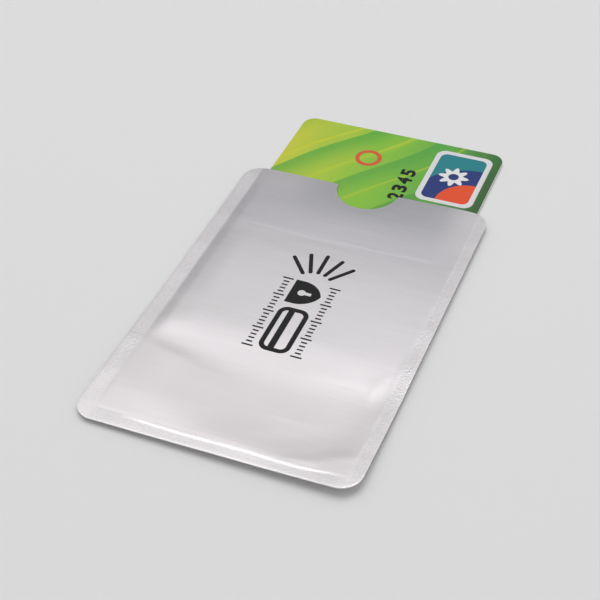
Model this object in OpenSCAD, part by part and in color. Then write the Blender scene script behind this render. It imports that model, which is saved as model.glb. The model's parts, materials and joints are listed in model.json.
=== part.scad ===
// Foil-laminated sleeve that shields one standard card, with the card part way out of its mouth.
// Millimetres. The origin is the middle of the sleeve's back, +Y points to the mouth and +Z up.

/* [Card] */
// Length of the card, a standard ID-1 card
card_l = 85.6; // [80:0.1:92]
// Width of the card
card_w = 53.98; // [50:0.02:58]
// Corner radius of the card
card_corner_r = 3.18; // [2:0.01:5]
// Thickness of each clear overlay film
overlay_t = 0.05; // [0.04:0.01:0.08]
// Thickness of each printed white sheet
sheet_t = 0.18; // [0.14:0.01:0.24]
// Thickness of the middle sheet that holds the antenna
inlay_t = 0.3; // [0.24:0.01:0.36]
// How far the card stands out of the mouth, as shown
card_out = 25.5; // [18:0.5:36]

/* [Sleeve] */
// Width of the heat seal along the left edge
left_seal = 3.5; // [2:0.1:5]
// Width of the heat seal along the right edge
right_seal = 2.7; // [2:0.1:5]
// Width of the heat seal along the bottom edge
bottom_seal = 3.5; // [2:0.1:5]
// Room between the card's left edge and the left seal
left_gap = 1.8; // [1:0.1:3]
// Room between the card's right edge and the right seal
right_gap = 0.8; // [0.6:0.1:3]
// Room between the card's inner end and the bottom seal, card pushed home
bottom_gap = 1.2; // [0.8:0.1:3]
// Depth of the card's outer end inside the mouth, card pushed home
mouth_margin = 1.6; // [0.5:0.1:4]
// Corner radius of the sleeve
corner_r = 4.6; // [2.5:0.1:6]
// Radius of the thumb notch in the front web
notch_r = 7.7; // [5:0.1:11]
// Shift of the thumb notch from the middle towards +X
notch_shift = 0.3; // [-2:0.1:2]
// Rounding where the thumb notch meets the mouth
notch_round = 0.4; // [0.2:0.1:1]

/* [Film] */
// Thickness of the silver face film
face_t = 0.03; // [0.02:0.005:0.05]
// Thickness of the aluminium foil
foil_t = 0.02; // [0.01:0.005:0.04]
// Thickness of the heat-seal film
seal_t = 0.07; // [0.05:0.01:0.1]
// Air under the card
back_slack = 0.05; // [0.04:0.01:0.1]
// Air over the card
front_slack = 0.14; // [0.1:0.01:0.3]
// Room between the card's edge and the slope of the films
edge_room = 0.3; // [0.1:0.05:0.4]

/* [Sleeve print] */
// Thickness of all printed ink
ink_t = 0.02; // [0.01:0.005:0.03]
// Distance of the print's lower end from the sleeve's bottom edge
print_from_bottom = 31.1; // [26:0.1:36]
// Shift of the print's middle from the sleeve's middle towards +X
print_shift = 0.4; // [-2:0.1:2]
// Length of the band of pictograms, along the sleeve
print_l = 23.6; // [20:0.1:26]
// Height of the pictograms, across the sleeve
print_h = 7.3; // [6:0.1:8.5]
// Line width of the pictograms
print_line = 1.15; // [0.8:0.05:1.3]
// Width of the stripe on the card pictogram
sign_stripe = 1.5; // [1:0.1:2]
// Length of the shield pictogram, along the sleeve
shield_l = 7.8; // [6.5:0.1:9]
// Roundness of the shield's point: the radius of its arcs over the shield's length
shield_curve = 0.72; // [0.5:0.01:0.8]
// Distance of the keyhole's middle from the shield's top
keyhole_from_top = 2.7; // [2:0.1:3.2]
// Radius of the keyhole, and width of its slot
keyhole_r = 0.95; // [0.6:0.05:1.2]
// Length of the keyhole's slot
keyhole_l = 2.3; // [1.5:0.1:2.6]
// Room between the two pictograms
sign_gap = 1.4; // [1:0.1:2]
// Length of the long tick marks
tick_h = 2.6; // [2:0.1:3.2]
// Length of the short tick marks
short_tick_h = 1.4; // [0.8:0.1:1.9]
// Line width of the tick marks
tick_line = 0.42; // [0.3:0.02:0.5]
// Number of tick marks in a row
tick_count = 21; // [16:1:23]
// Room between the pictograms and each row of ticks
tick_gap = 0.75; // [0.4:0.05:1.2]
// Distance of the fan's middle below the pictograms' upper end
ray_back = 1.4; // [0:0.1:2]
// Outer radius of the fan of rays
ray_r = 11.8; // [10:0.1:13]
// Inner radius of the fan of rays
ray_inner_r = 5.2; // [4:0.1:6.5]
// Line width of the rays
ray_line = 0.95; // [0.6:0.05:1.1]
// Number of rays
ray_count = 5; // [3:1:7]
// Angle between the two outer rays
ray_angle = 80; // [60:1:100]

/* [Card print] */
// Height of the digits, across the card
digit_h = 3.8; // [3:0.1:4.5]
// Width of a digit, along the card
digit_w = 2.2; // [1.8:0.1:2.5]
// Line width of the digits
digit_line = 0.5; // [0.35:0.05:0.6]
// Distance from one digit to the next
digit_pitch = 3.4; // [3:0.05:3.6]
// Room between the chip's contact plate and the digits' tops
digit_from_plate = 1.5; // [0.5:0.1:3]
// Distance of the last digit from the card's outer end
digit_from_end = 13.5; // [11:0.1:16]
// Length of the badge, along the card
badge_l = 21.5; // [18:0.1:23]
// Room between the digits' feet and the badge
badge_from_digits = 2.3; // [1:0.1:4]
// Corner radius of the badge
badge_r = 2.4; // [1.5:0.1:3]
// Width of the badge's white border
badge_border = 1.3; // [0.8:0.1:1.8]
// Distance of the badge from the card's right edge
badge_from_side = 2; // [1.5:0.1:3]
// Distance of the badge from the card's outer end
badge_from_end = 2.5; // [1.5:0.1:4]
// Outer radius of the ring mark
ring_r = 3.4; // [2.5:0.1:4]
// Line width of the ring mark
ring_line = 1.1; // [0.7:0.1:1.4]
// Distance of the ring's middle from the card's left edge
ring_from_side = 21.6; // [19:0.1:24]
// Distance of the ring's middle from the card's outer end
ring_from_end = 12.2; // [9:0.1:16]

/* [Chip and antenna] */
// Length of the contact plate, along the card
plate_l = 13; // [12:0.1:14]
// Width of the contact plate, across the card
plate_w = 11.8; // [10.6:0.1:12.4]
// Corner radius of the contact plate
plate_r = 1.8; // [1:0.1:2.5]
// Distance of the plate's middle from the card's inner end
plate_from_end = 15.06; // [14:0.02:17]
// Distance of the plate's middle from the card's left edge
plate_from_side = 23.89; // [22:0.01:25]
// Width of the grooves that part the contacts
groove_w = 0.25; // [0.2:0.05:0.35]
// Depth of the grooves that part the contacts
groove_d = 0.03; // [0.02:0.005:0.05]
// Distance from one contact to the next in its column
contact_pitch = 2.54; // [2.3:0.01:2.7]
// Half width of the plain field between the two columns of contacts
contact_field = 2; // [1.6:0.1:2.4]
// Thickness of the adhesive frame under the plate
adhesive_t = 0.05; // [0.03:0.01:0.07]
// Length and width of the potted die
potting_size = 8.4; // [7:0.1:9.4]
// Corner radius of the potted die
potting_r = 1.6; // [1:0.1:2.4]
// Distance of the antenna's outer turn from the card's edge
coil_margin = 3; // [2.5:0.1:4]
// Distance from one antenna turn to the next
coil_pitch = 0.9; // [0.8:0.05:1]
// Width of the antenna track
track_w = 0.45; // [0.3:0.05:0.5]
// Thickness of the antenna track
track_t = 0.03; // [0.02:0.005:0.05]
// Number of antenna turns
coil_turns = 4; // [2:1:5]
// Half the distance between the antenna's two ends at the potted die
coil_end_gap = 2.5; // [2:0.1:3]

/* [Card back] */
// Width of the magnetic stripe
stripe_w = 10.28; // [9:0.02:12.7]
// Distance of the magnetic stripe from the card's left edge
stripe_from_side = 5.54; // [4:0.01:6]
// Thickness of the magnetic stripe and of the signature panel
stripe_t = 0.02; // [0.01:0.005:0.03]
// Length of the signature panel
panel_l = 70; // [60:0.5:74]
// Width of the signature panel
panel_w = 8.4; // [6.5:0.1:10]
// Room between the magnetic stripe and the signature panel
panel_gap = 2.6; // [1:0.1:4]

/* [Hidden] */
$fn = 64;
reach = 1; // how far a cutting shape runs past what it cuts

// Sleeve
sleeve_w = left_seal + left_gap + card_w + right_gap + right_seal;
sleeve_l = bottom_seal + bottom_gap + card_l + mouth_margin;
web_t = face_t + foil_t + seal_t;
card_t = 2 * overlay_t + 2 * sheet_t + inlay_t;
pocket_h = back_slack + card_t + front_slack;
sleeve_t = 2 * web_t + pocket_h;
middle_z = sleeve_t / 2;
rise = pocket_h / 2;
west = -sleeve_w / 2;
east = sleeve_w / 2;
south = -sleeve_l / 2;
mouth = sleeve_l / 2;
pocket_west = west + left_seal;
pocket_east = east - right_seal;
pocket_south = south + bottom_seal;
left_slope = left_gap - edge_room;
right_slope = right_gap - edge_room;
bottom_slope = bottom_gap - edge_room;

// Card
card_west = pocket_west + left_gap;
card_east = card_west + card_w;
card_outer = mouth + card_out;
card_inner = card_outer - card_l;
back_overlay_z = web_t + back_slack;
back_sheet_z = back_overlay_z + overlay_t;
inlay_z = back_sheet_z + sheet_t;
front_sheet_z = inlay_z + inlay_t;
front_overlay_z = front_sheet_z + sheet_t;
card_top = front_overlay_z + overlay_t;
plate_x = card_west + plate_from_side;
plate_y = card_inner + plate_from_end;
plate_t = overlay_t + sheet_t - adhesive_t;
stripe_x = card_west + stripe_from_side;
panel_x = stripe_x + stripe_w + panel_gap;
panel_y = (card_inner + card_outer) / 2 - panel_l / 2;
DIGITS = [0, 1, 2, 3, -1, 4, 5, 6, 7, -1, 8, 9, 0, 1, -1, 2, 3, 4, 5]; // -1 is a space
digit_x = plate_x + plate_w / 2 + digit_from_plate;
badge_x = digit_x + digit_h + badge_from_digits;
badge_y = card_outer - badge_from_end - badge_l;
badge_w = card_east - badge_from_side - badge_x;

// Which of a digit's seven bars are drawn, clockwise from the top, the middle bar last
BARS = [[1, 1, 1, 1, 1, 1, 0], [0, 1, 1, 0, 0, 0, 0], [1, 1, 0, 1, 1, 0, 1], [1, 1, 1, 1, 0, 0, 1],
        [0, 1, 1, 0, 0, 1, 1], [1, 0, 1, 1, 0, 1, 1], [1, 0, 1, 1, 1, 1, 1], [1, 1, 1, 0, 0, 0, 0],
        [1, 1, 1, 1, 1, 1, 1], [1, 1, 1, 1, 0, 1, 1]];

// Sleeve print
print_y = south + print_from_bottom;
card_sign_l = print_l - shield_l - sign_gap;

// A rectangle with round corners, its low corner at the origin
module round_rect(size, r) {
    limit = min(r, size.x / 2, size.y / 2);
    translate([limit, 0]) square([size.x - 2 * limit, size.y]);
    translate([0, limit]) square([size.x, size.y - 2 * limit]);
    for (x = [limit, size.x - limit], y = [limit, size.y - limit])
        translate([x, y]) circle(limit);
}

module sleeve_outline() {
    translate([west, south]) round_rect([sleeve_w, sleeve_l], corner_r);
}

module card_outline() {
    translate([card_west, card_inner]) round_rect([card_w, card_l], card_corner_r);
}

// Everything below the inner face of the front web raised by lift: a low step over the seals,
// a slope along three sides, and the raised panel that runs out at the mouth
module under_web(lift, floor_z) {
    low = middle_z + lift;
    high = low + rise;
    intersection() {
        translate([0, mouth + reach, 0]) rotate([90, 0, 0])
            linear_extrude(sleeve_l + 2 * reach)
                polygon([[west - reach, floor_z], [east + reach, floor_z], [east + reach, low],
                         [pocket_east, low], [pocket_east - right_slope, high],
                         [pocket_west + left_slope, high], [pocket_west, low], [west - reach, low]]);
        translate([west - reach, 0, 0]) rotate([90, 0, 90])
            linear_extrude(sleeve_w + 2 * reach)
                polygon([[south - reach, floor_z], [mouth + reach, floor_z], [mouth + reach, high],
                         [pocket_south + bottom_slope, high], [pocket_south, low],
                         [south - reach, low]]);
    }
}

// One layer of the front web, from one lift above its inner face to another
module web_layer(lift, t) {
    difference() {
        under_web(lift + t, middle_z - reach);
        under_web(lift, middle_z - 2 * reach);
    }
}

module over_outline() {
    linear_extrude(sleeve_t + reach) sleeve_outline();
}

// The room inside the seals, open at the mouth
module over_pocket() {
    translate([pocket_west, pocket_south, 0])
        cube([pocket_east - pocket_west, mouth - pocket_south, sleeve_t + reach]);
}

// The thumb notch, with its two corners at the mouth rounded
module notch() {
    corner_x = sqrt(pow(notch_r + notch_round, 2) - pow(notch_round, 2));
    touch = notch_r / (notch_r + notch_round);
    translate([notch_shift, mouth, -reach]) linear_extrude(sleeve_t + 3 * reach) {
        circle(notch_r);
        for (side = [-1, 1])
            difference() {
                polygon([[side * corner_x * touch, -notch_round * touch],
                         [side * corner_x * touch, reach], [side * corner_x, reach],
                         [side * corner_x, -notch_round]]);
                translate([side * corner_x, -notch_round]) circle(notch_round);
            }
    }
}

module back_side() {
    translate([0, 0, sleeve_t]) mirror([0, 0, 1]) children();
}

module front_face_film() {
    color("gainsboro") difference() {
        intersection() {
            web_layer(seal_t + foil_t, face_t);
            over_outline();
        }
        notch();
    }
}

module front_foil() {
    color("silver") difference() {
        intersection() {
            web_layer(seal_t, foil_t);
            over_outline();
        }
        notch();
    }
}

module front_seal_film() {
    color("whitesmoke") difference() {
        intersection() {
            web_layer(0, seal_t);
            over_outline();
            over_pocket();
        }
        notch();
    }
}

module back_face_film() {
    color("gainsboro") back_side() intersection() {
        web_layer(seal_t + foil_t, face_t);
        over_outline();
    }
}

module back_foil() {
    color("silver") back_side() intersection() {
        web_layer(seal_t, foil_t);
        over_outline();
    }
}

module back_seal_film() {
    color("whitesmoke") back_side() intersection() {
        web_layer(0, seal_t);
        over_outline();
        over_pocket();
    }
}

// Where the two seal films have melted into one strip
module seam(low, high) {
    translate([0, 0, middle_z - seal_t]) linear_extrude(2 * seal_t) intersection() {
        sleeve_outline();
        translate(low) square(high - low);
    }
}

module left_seam() {
    color("lightgray") seam([west, south], [pocket_west, mouth]);
}

module right_seam() {
    color("lightgray") seam([pocket_east, south], [east, mouth]);
}

module bottom_seam() {
    color("lightgray") seam([pocket_west, south], [pocket_east, pocket_south]);
}

// A printed line with round ends
module ink_line(from, to, line) {
    run = to - from;
    translate(from) circle(line / 2);
    translate(to) circle(line / 2);
    translate(from) rotate(atan2(run.y, run.x))
        translate([0, -line / 2]) square([norm(run), line]);
}

// A row of ticks along +Y, every fifth one long
module tick_row() {
    step = (print_l - tick_line) / (tick_count - 1);
    for (i = [0:tick_count - 1]) {
        h = i % 5 == 0 ? tick_h : short_tick_h;
        translate([(tick_h - h) / 2, i * step]) square([h, tick_line]);
    }
}

// A card seen flat: its outline with a stripe
module card_sign() {
    difference() {
        round_rect([print_h, card_sign_l], 2 * print_line);
        translate([print_line, print_line])
            round_rect([print_h - 2 * print_line, card_sign_l - 2 * print_line], print_line);
    }
    translate([2 * print_line, print_line / 2]) square([sign_stripe, card_sign_l - print_line]);
}

// A shield with a keyhole, its point towards +X. Two arcs run on from the straight sides, each with
// its middle on the line where the sides end, and meet at the point
module shield_sign() {
    arc_r = shield_curve * shield_l;
    point_h = sqrt(pow(arc_r, 2) - pow(shield_l / 2 - arc_r, 2));
    side = print_h - point_h;
    difference() {
        union() {
            square([side, shield_l]);
            intersection() {
                translate([side, arc_r]) circle(arc_r);
                translate([side, shield_l - arc_r]) circle(arc_r);
                translate([side - print_line, 0]) square([print_h, shield_l]);
            }
        }
        translate([keyhole_from_top, shield_l / 2]) circle(keyhole_r);
        translate([keyhole_from_top, (shield_l - keyhole_r) / 2])
            square([keyhole_l, keyhole_r]);
    }
}

module sleeve_print() {
    color("black") translate([print_shift, print_y, sleeve_t]) linear_extrude(ink_t) {
        translate([-print_h / 2, 0]) card_sign();
        translate([-print_h / 2, print_l - shield_l]) shield_sign();
        translate([-print_h / 2 - tick_gap - tick_h, 0]) tick_row();
        translate([print_h / 2 + tick_gap, 0]) tick_row();
        for (i = [0:ray_count - 1])
            translate([0, print_l - ray_back])
                rotate(-ray_angle / 2 + i * ray_angle / (ray_count - 1))
                    ink_line([0, ray_inner_r], [0, ray_r - ray_line / 2], ray_line);
    }
}

module card_layer(z, t) {
    translate([0, 0, z]) linear_extrude(t) card_outline();
}

module plate_block(z, t) {
    translate([plate_x - plate_w / 2, plate_y - plate_l / 2, z])
        linear_extrude(t) round_rect([plate_w, plate_l], plate_r);
}

module potting_block(z, t) {
    translate([plate_x - potting_size / 2, plate_y - potting_size / 2, z])
        linear_extrude(t) round_rect([potting_size, potting_size], potting_r);
}

// The magnetic stripe, run past both ends of the card by extra, and the signature panel
module stripe_block(z, t, extra) {
    translate([stripe_x, card_inner - extra, z]) cube([stripe_w, card_l + 2 * extra, t]);
}

module panel_block(z, t) {
    translate([panel_x, panel_y, z]) cube([panel_w, panel_l, t]);
}

module card_front_overlay() {
    color("yellowgreen") difference() {
        card_layer(front_overlay_z, overlay_t);
        plate_block(front_overlay_z - reach, overlay_t + 2 * reach);
    }
}

module card_front_sheet() {
    color("white") difference() {
        card_layer(front_sheet_z, sheet_t);
        plate_block(front_sheet_z - reach, sheet_t + 2 * reach);
    }
}

module card_back_sheet() {
    color("white") card_layer(back_sheet_z, sheet_t);
}

module card_back_overlay() {
    color("palegreen") difference() {
        card_layer(back_overlay_z, overlay_t);
        stripe_block(back_overlay_z - reach, reach + stripe_t, reach);
        panel_block(back_overlay_z - reach, reach + stripe_t);
    }
}

module magnetic_stripe() {
    color("dimgray") stripe_block(back_overlay_z, stripe_t, 0);
}

module signature_panel() {
    color("ivory") panel_block(back_overlay_z, stripe_t);
}

// The antenna's line: it goes round the card coil_turns times, each turn further in
function turn_inset(i) = coil_margin + i * coil_pitch;
function turn_corners(i) = [
    [turn_inset(i), card_w - turn_inset(i)],
    [card_l - turn_inset(i), card_w - turn_inset(i)],
    [card_l - turn_inset(i), turn_inset(i)],
    [turn_inset(i + 1), turn_inset(i)]];
function coil_line() = concat(
    [[turn_inset(0), plate_from_side + coil_end_gap]],
    [for (i = [0:coil_turns - 1]) each turn_corners(i)],
    [[turn_inset(coil_turns), plate_from_side - coil_end_gap],
     [plate_from_end - potting_size / 2, plate_from_side - coil_end_gap]]);

// Unit direction of step i of a line, and the corner of its edge on one side
function step_way(line, i) = (line[i + 1] - line[i]) / norm(line[i + 1] - line[i]);
function side_way(way) = [-way.y, way.x];
function edge_point(line, i, w) =
    i == 0 ? line[0] + side_way(step_way(line, 0)) * w :
    i == len(line) - 1 ? line[i] + side_way(step_way(line, i - 1)) * w :
    line[i] + (side_way(step_way(line, i - 1)) + side_way(step_way(line, i))) * w;
function strip_outline(line, w) = concat(
    [for (i = [0:len(line) - 1]) edge_point(line, i, w / 2)],
    [for (i = [len(line) - 1:-1:0]) edge_point(line, i, -w / 2)]);

// The antenna is written in card length and card width, so the two are swapped here
function on_card(points) = [for (p = points) [card_west + p.y, card_inner + p.x]];

// Track on top of the inlay, a post through it and the bridge under the turns back to the die
module coil_solid() {
    translate([0, 0, front_sheet_z - track_t]) linear_extrude(track_t)
        polygon(on_card(strip_outline(coil_line(), track_w)));
    start_x = card_west + plate_from_side + coil_end_gap;
    start_y = card_inner + turn_inset(0);
    translate([start_x - track_w / 2, start_y - track_w / 2, inlay_z])
        cube([track_w, track_w, inlay_t]);
    translate([start_x - track_w / 2, start_y - track_w / 2, inlay_z])
        cube([track_w, plate_from_end - potting_size / 2 - turn_inset(0) + track_w / 2, track_t]);
}

module antenna_coil() {
    color("peru") coil_solid();
}

module antenna_inlay() {
    color("whitesmoke") difference() {
        card_layer(inlay_z, inlay_t);
        potting_block(inlay_z - reach, inlay_t + 2 * reach);
        coil_solid();
    }
}

// Gold contact plate with the grooves that part its eight contacts
module chip_plate() {
    groove_z = card_top - groove_d;
    color("gold") difference() {
        plate_block(card_top - plate_t, plate_t);
        for (side = [-1, 1]) {
            translate([plate_x - plate_w / 2 - reach, plate_y + side * contact_field - groove_w / 2,
                       groove_z])
                cube([plate_w + 2 * reach, groove_w, groove_d + reach]);
            for (i = [-1:1])
                translate([plate_x + i * contact_pitch - groove_w / 2,
                           plate_y + (side > 0 ? contact_field : -plate_l / 2 - reach), groove_z])
                    cube([groove_w, plate_l / 2 + reach - contact_field, groove_d + reach]);
        }
    }
}

module chip_adhesive() {
    color("khaki") difference() {
        plate_block(front_sheet_z, adhesive_t);
        potting_block(front_sheet_z - reach, adhesive_t + 2 * reach);
    }
}

module chip_potting() {
    color("darkslategray") potting_block(inlay_z, inlay_t + adhesive_t);
}

// One bar of a digit. The digit reads along +Y and its top is towards -X
module digit_bar(k) {
    half = (digit_h - digit_line) / 2;
    far = digit_w - digit_line;
    if (k == 0) square([digit_line, digit_w]);
    if (k == 3) translate([2 * half, 0]) square([digit_line, digit_w]);
    if (k == 6) translate([half, 0]) square([digit_line, digit_w]);
    if (k == 1) translate([0, far]) square([half + digit_line, digit_line]);
    if (k == 2) translate([half, far]) square([half + digit_line, digit_line]);
    if (k == 4) translate([half, 0]) square([half + digit_line, digit_line]);
    if (k == 5) square([half + digit_line, digit_line]);
}

module card_digits() {
    last = len(DIGITS) - 1;
    color("black") translate([digit_x, card_outer - digit_from_end, card_top])
        linear_extrude(ink_t)
            for (i = [0:last])
                if (DIGITS[i] >= 0)
                    translate([0, -digit_w - (last - i) * digit_pitch])
                        for (k = [0:6])
                            if (BARS[DIGITS[i]][k] == 1) digit_bar(k);
}

module badge_tile() {
    color("white") translate([badge_x, badge_y, card_top]) linear_extrude(ink_t)
        difference() {
            round_rect([badge_w, badge_l], badge_r);
            translate([badge_border, badge_border])
                round_rect([badge_w - 2 * badge_border, badge_l - 2 * badge_border],
                           badge_r - badge_border / 2);
        }
}

module badge_field() {
    color("darkcyan") translate([badge_x + badge_border, badge_y + badge_border, card_top])
        linear_extrude(ink_t)
            round_rect([badge_w - 2 * badge_border, badge_l - 2 * badge_border],
                       badge_r - badge_border / 2);
}

module ring_mark() {
    color("orangered")
        translate([card_west + ring_from_side, card_outer - ring_from_end, card_top])
            linear_extrude(ink_t) difference() {
                circle(ring_r);
                circle(ring_r - ring_line);
            }
}

front_face_film();
front_foil();
front_seal_film();
back_face_film();
back_foil();
back_seal_film();
left_seam();
right_seam();
bottom_seam();
sleeve_print();
card_front_overlay();
card_front_sheet();
antenna_inlay();
antenna_coil();
card_back_sheet();
card_back_overlay();
magnetic_stripe();
signature_panel();
chip_plate();
chip_adhesive();
chip_potting();
card_digits();
badge_tile();
badge_field();
ring_mark();
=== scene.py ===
# Looks of a foil card sleeve and the card in it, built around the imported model.
# Shapes are worked out in millimetres and turned into metres when a mesh is made.
import json
import math

import bmesh
import bpy
import numpy as np
from mathutils import Matrix, Vector


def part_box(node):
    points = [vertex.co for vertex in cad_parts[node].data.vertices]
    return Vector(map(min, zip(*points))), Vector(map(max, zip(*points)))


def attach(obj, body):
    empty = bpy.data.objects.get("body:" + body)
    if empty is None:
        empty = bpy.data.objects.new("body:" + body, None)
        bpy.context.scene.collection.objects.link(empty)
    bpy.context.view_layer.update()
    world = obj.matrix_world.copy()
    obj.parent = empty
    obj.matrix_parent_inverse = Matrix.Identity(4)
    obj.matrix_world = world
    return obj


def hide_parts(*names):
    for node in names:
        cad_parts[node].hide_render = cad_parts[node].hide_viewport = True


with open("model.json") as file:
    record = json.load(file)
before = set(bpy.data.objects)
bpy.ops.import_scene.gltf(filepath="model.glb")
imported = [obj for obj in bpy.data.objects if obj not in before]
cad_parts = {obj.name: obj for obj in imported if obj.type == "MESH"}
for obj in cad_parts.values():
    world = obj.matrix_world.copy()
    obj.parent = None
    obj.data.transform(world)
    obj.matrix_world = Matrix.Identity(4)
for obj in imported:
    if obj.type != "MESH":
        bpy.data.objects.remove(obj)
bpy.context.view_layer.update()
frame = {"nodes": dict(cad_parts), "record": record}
nodes = frame["nodes"]
perMetre = 1000.0


def boxOf(node):
    # lowest and highest corner of a CAD node, in millimetres
    low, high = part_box(node)
    return np.array(low) * perMetre, np.array(high) * perMetre


# Camera, as fitted to the straight edges of card and sleeve
view = {
    "azimuth": 23.909,
    "elevation": 41.747,
    "roll": -2.316,
    "target": (-0.614, 3.932, 0.0),
    "distance": 292.224,
    "lens": 77.93,
    "sensor": 36.0,
}


def placeCamera(v):
    # the camera looks back along the line from the target at the given azimuth and elevation,
    # then turns about its own axis by the roll
    a, e, r = (math.radians(v[k]) for k in ("azimuth", "elevation", "roll"))
    back = Vector((math.sin(a) * math.cos(e), -math.cos(a) * math.cos(e), math.sin(e)))
    level = Vector((math.cos(a), math.sin(a), 0.0))
    up = back.cross(level)
    right = level * math.cos(r) + up * math.sin(r)
    top = up * math.cos(r) - level * math.sin(r)
    camera = bpy.data.objects.new("photoCamera", bpy.data.cameras.new("photoCamera"))
    bpy.context.scene.collection.objects.link(camera)
    camera.data.sensor_width = v["sensor"]
    camera.data.lens = v["lens"]
    camera.data.clip_start = 0.01
    place = (Vector(v["target"]) + back * v["distance"]) / perMetre
    turn = Matrix((right, top, back)).transposed().to_4x4()
    camera.matrix_world = Matrix.Translation(place) @ turn
    bpy.context.scene.camera = camera
    print("camera placed")


class Flow:
    # a socket that ordinary sums work on: each operator adds one Math node
    def __init__(self, paint, socket):
        self.paint = paint
        self.socket = socket

    def math(self, operation, *values):
        links = {i: value for i, value in enumerate(values)}
        return self.paint.node("ShaderNodeMath", {"operation": operation}, links)

    def __add__(self, other):
        return self.math("ADD", self, other)

    def __radd__(self, other):
        return self.math("ADD", other, self)

    def __sub__(self, other):
        return self.math("SUBTRACT", self, other)

    def __rsub__(self, other):
        return self.math("SUBTRACT", other, self)

    def __mul__(self, other):
        return self.math("MULTIPLY", self, other)

    def __rmul__(self, other):
        return self.math("MULTIPLY", other, self)

    def __pow__(self, other):
        return self.math("POWER", self, other)

    def __abs__(self):
        return self.math("ABSOLUTE", self)

    def sine(self):
        return self.math("SINE", self)

    def cosine(self):
        return self.math("COSINE", self)


class Paint:
    # one material, its node tree and the places on the piece in millimetres
    def __init__(self, name, **constants):
        self.material = bpy.data.materials.new(name)
        self.material.use_nodes = True
        self.tree = self.material.node_tree
        self.shader = next(n for n in self.tree.nodes if n.type == "BSDF_PRINCIPLED")
        for socket, value in constants.items():
            self.shader.inputs[socket.replace("_", " ")].default_value = value
        place = self.node("ShaderNodeTexCoord", output="Object")
        self.place = self.node(
            "ShaderNodeVectorMath", {"operation": "SCALE"}, {0: place, "Scale": perMetre}
        )
        parts = self.node("ShaderNodeSeparateXYZ", links={0: self.place}, output=None)
        self.x, self.y, self.z = (Flow(self, parts.outputs[i]) for i in range(3))

    def node(self, kind, settings=None, links=None, output=0):
        # adds a node, sets it up, then fills or links its sockets
        made = self.tree.nodes.new(kind)
        for key, value in (settings or {}).items():
            if key == "stops":
                ramp = made.color_ramp
                while len(ramp.elements) < len(value):
                    ramp.elements.new(0.5)
                for element, (position, colour) in zip(ramp.elements, value):
                    element.position = position
                    element.color = (*colour, 1.0)
            else:
                setattr(made, key, value)
        for key, value in (links or {}).items():
            if isinstance(value, Flow):
                self.tree.links.new(value.socket, made.inputs[key])
            elif isinstance(value, (tuple, list)) and made.inputs[key].type == "RGBA":
                made.inputs[key].default_value = (*value, 1.0)
            else:
                made.inputs[key].default_value = value
        return made if output is None else Flow(self, made.outputs[output])

    def between(self, value, low, high):
        # 0 below low, 1 above high, smooth between; low above high turns it round
        if low > high:
            return 1.0 - self.between(value, high, low)
        return self.node(
            "ShaderNodeMapRange",
            {"interpolation_type": "SMOOTHSTEP"},
            {0: value, 1: low, 2: high, 3: 0.0, 4: 1.0},
        )

    def at(self, x, y, z):
        return self.node("ShaderNodeCombineXYZ", links={0: x, 1: y, 2: z})

    def noise(self, place, scale=1.0, detail=2.0, roughness=0.5):
        links = {"Vector": place, "Scale": scale, "Detail": detail, "Roughness": roughness}
        return self.node("ShaderNodeTexNoise", links=links)

    def drawnOut(self, rates, **more):
        # noise whose grains are long where a rate is small: rates along x, y and z
        x, y, z = rates
        return self.noise(self.at(self.x * x, self.y * y, self.z * z), **more)

    def patch(self, strength, alongX, *alongY):
        # strength × a smooth step along x × one or more smooth steps along y
        share = self.between(self.x, *alongX)
        for limits in alongY:
            share = share * self.between(self.y, *limits)
        return share * strength

    def tint(self, base, shade):
        # the colour times a plain number
        return self.mix(1.0, base, self.at(shade, shade, shade), blend="MULTIPLY")

    def mix(self, factor, first, second, blend="MIX"):
        links = {0: factor, 6: first, 7: second}
        settings = {"data_type": "RGBA", "blend_type": blend, "clamp_factor": True}
        return self.node("ShaderNodeMix", settings, links, output=2)

    def ramp(self, value, stops):
        made = self.node("ShaderNodeValToRGB", {"stops": stops}, {0: value}, output=None)
        made.color_ramp.interpolation = "EASE"
        return Flow(self, made.outputs[0])

    def sendGrained(self, base, roughness, grain, spread, height):
        # sends a colour, and a grain in the gloss and the relief
        rough = roughness + (grain - 0.5) * spread
        self.send(Base_Color=base, Roughness=rough, Normal=self.bump(grain, height))

    def send(self, **flows):
        for socket, value in flows.items():
            self.tree.links.new(value.socket, self.shader.inputs[socket.replace("_", " ")])

    def bump(self, height, distance, over=None):
        # distance is in millimetres for a height of 1
        links = {"Height": height, "Distance": distance / perMetre, "Strength": 1.0}
        if over is not None:
            links["Normal"] = over
        return self.node("ShaderNodeBump", links=links)


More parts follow.
